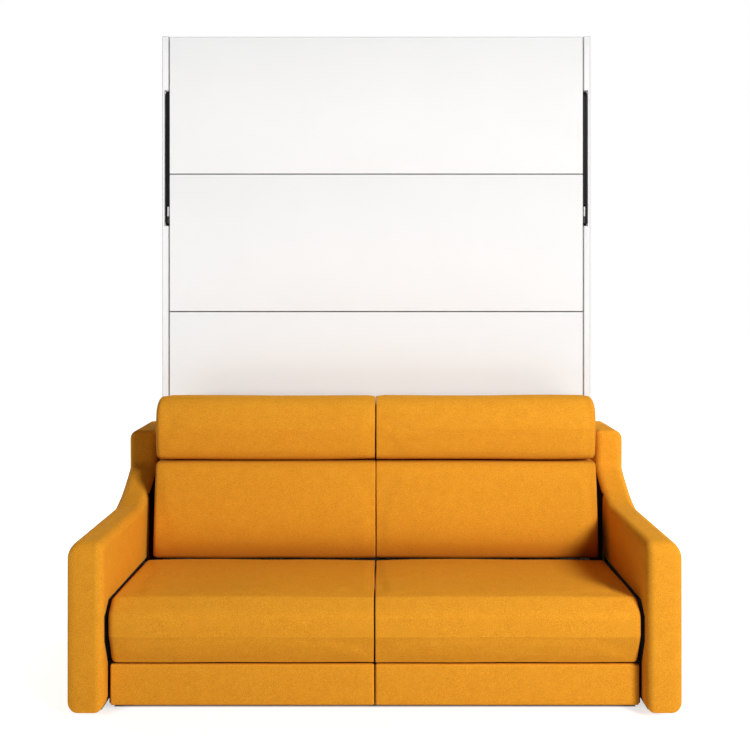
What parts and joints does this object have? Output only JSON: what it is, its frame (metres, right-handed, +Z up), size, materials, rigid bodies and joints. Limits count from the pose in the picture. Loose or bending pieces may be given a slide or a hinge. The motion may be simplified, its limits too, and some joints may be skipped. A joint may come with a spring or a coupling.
{
  "type": "wall bed with sofa",
  "caption": "Tall white cabinet whose front lowers as a bed, with a padded fabric sofa before it that has swept arms, headrests and pull-out drawers under its seats.",
  "frame": {"origin": "on the floor, under the middle of the whole piece's bounding box", "axes": "+Z up, the sofa faces -Y, +X to the right as seen from the front"},
  "size_m": [1.826, 1.329, 2.254],
  "materials": {
    "white_laminate": "white melamine-faced board, satin",
    "yellow_cloth": "mustard-orange felted upholstery cloth",
    "black_steel": "black powder coat",
    "zinc_steel": "zinc-plated steel",
    "plywood": "raw plywood and softwood",
    "beech": "laminated beech",
    "white_ticking": "woven mattress ticking",
    "black_plastic": "black plastic and webbing"
  },
  "bodies": {
    "cabinet": {"left_side_panel": "white_laminate", "right_side_panel": "white_laminate", "top_panel": "white_laminate", "back_panel": "white_laminate", "rear_base_rail": "white_laminate", "left_corner_bracket": "zinc_steel", "left_wall_plate": "black_steel", "right_corner_bracket": "zinc_steel", "right_wall_plate": "black_steel", "left_arm_cover": "yellow_cloth", "left_arm_core": "plywood", "left_arm_skid": "black_plastic", "right_arm_cover": "yellow_cloth", "right_arm_core": "plywood", "right_arm_skid": "black_plastic", "base_divider": "plywood", "left_base_side": "plywood", "right_base_side": "plywood", "base_rear_panel": "plywood", "seat_board": "plywood", "left_seat_cushion": "yellow_cloth", "right_seat_cushion": "yellow_cloth"},
    "bed": {"upper_face_board": "white_laminate", "middle_face_board": "white_laminate", "lower_face_board": "white_laminate", "bottom_face_board": "white_laminate", "left_bed_rail": "plywood", "right_bed_rail": "plywood", "foot_end_rail": "plywood", "head_end_rail": "plywood", "slat_base": "beech", "mattress": "white_ticking", "lower_mattress_strap": "black_plastic", "upper_mattress_strap": "black_plastic", "left_bed_plate": "black_steel", "left_leg_bolt": "zinc_steel", "right_bed_plate": "black_steel", "right_leg_bolt": "zinc_steel", "left_back_post": "plywood", "middle_back_post": "plywood", "right_back_post": "plywood", "back_board": "plywood", "left_back_cushion": "yellow_cloth", "left_headrest": "yellow_cloth", "right_back_cushion": "yellow_cloth", "right_headrest": "yellow_cloth"},
    "left_leg": {"left_leg_bar": "black_steel", "left_leg_plate": "black_steel", "left_leg_foot": "black_plastic"},
    "right_leg": {"right_leg_bar": "black_steel", "right_leg_plate": "black_steel", "right_leg_foot": "black_plastic"},
    "left_cylinder": {"left_gas_tube": "black_steel"},
    "left_rod": {"left_gas_rod": "zinc_steel"},
    "right_cylinder": {"right_gas_tube": "black_steel"},
    "right_rod": {"right_gas_rod": "zinc_steel"},
    "left_drawer": {"left_drawer_box": "plywood", "left_drawer_front": "yellow_cloth"},
    "right_drawer": {"right_drawer_box": "plywood", "right_drawer_front": "yellow_cloth"}
  },
  "joints": [
    {"name": "bed_tilt", "type": "hinge", "parent": "cabinet", "child": "bed", "pos_m": [0, 0.3295, 0.6], "axis": [1, 0, 0], "range_deg": [0, 90], "stiffness_Nm_per_rad": 233, "springref_deg": -118.03},
    {"name": "left_leg_fold", "type": "hinge", "parent": "bed", "child": "left_leg", "pos_m": [-0.806, 0.2065, 2.009], "axis": [1, 0, 0], "range_deg": [-90, 0]},
    {"name": "right_leg_fold", "type": "hinge", "parent": "bed", "child": "right_leg", "pos_m": [0.806, 0.2065, 2.009], "axis": [1, 0, 0], "range_deg": [-90, 0]},
    {"name": "left_cylinder_swing", "type": "hinge", "parent": "cabinet", "child": "left_cylinder", "pos_m": [-0.787, 0.4695, 1.12], "axis": [1, 0, 0], "range_deg": [0, 2.4]},
    {"name": "left_rod_slide", "type": "slide", "parent": "left_cylinder", "child": "left_rod", "axis": [0, 0.1369, 0.9906], "range_m": [0, 0.155]},
    {"name": "right_cylinder_swing", "type": "hinge", "parent": "cabinet", "child": "right_cylinder", "pos_m": [0.787, 0.4695, 1.12], "axis": [1, 0, 0], "range_deg": [0, 2.4]},
    {"name": "right_rod_slide", "type": "slide", "parent": "right_cylinder", "child": "right_rod", "axis": [0, 0.1369, 0.9906], "range_m": [0, 0.155]},
    {"name": "left_drawer_slide", "type": "slide", "parent": "cabinet", "child": "left_drawer", "axis": [0, -1, 0], "range_m": [0, 0.3]},
    {"name": "right_drawer_slide", "type": "slide", "parent": "cabinet", "child": "right_drawer", "axis": [0, -1, 0], "range_m": [0, 0.3]}
  ],
  "couplings": [
    {"joint": "left_leg_fold", "follows": "bed_tilt", "ratio": -1},
    {"joint": "right_leg_fold", "follows": "bed_tilt", "ratio": -1},
    {"joint": "left_cylinder_swing", "follows": "bed_tilt", "ratio": 0.026017},
    {"joint": "left_rod_slide", "follows": "bed_tilt", "m_per_rad": 0.097832},
    {"joint": "right_cylinder_swing", "follows": "bed_tilt", "ratio": 0.026017},
    {"joint": "right_rod_slide", "follows": "bed_tilt", "m_per_rad": 0.097832}
  ]
}
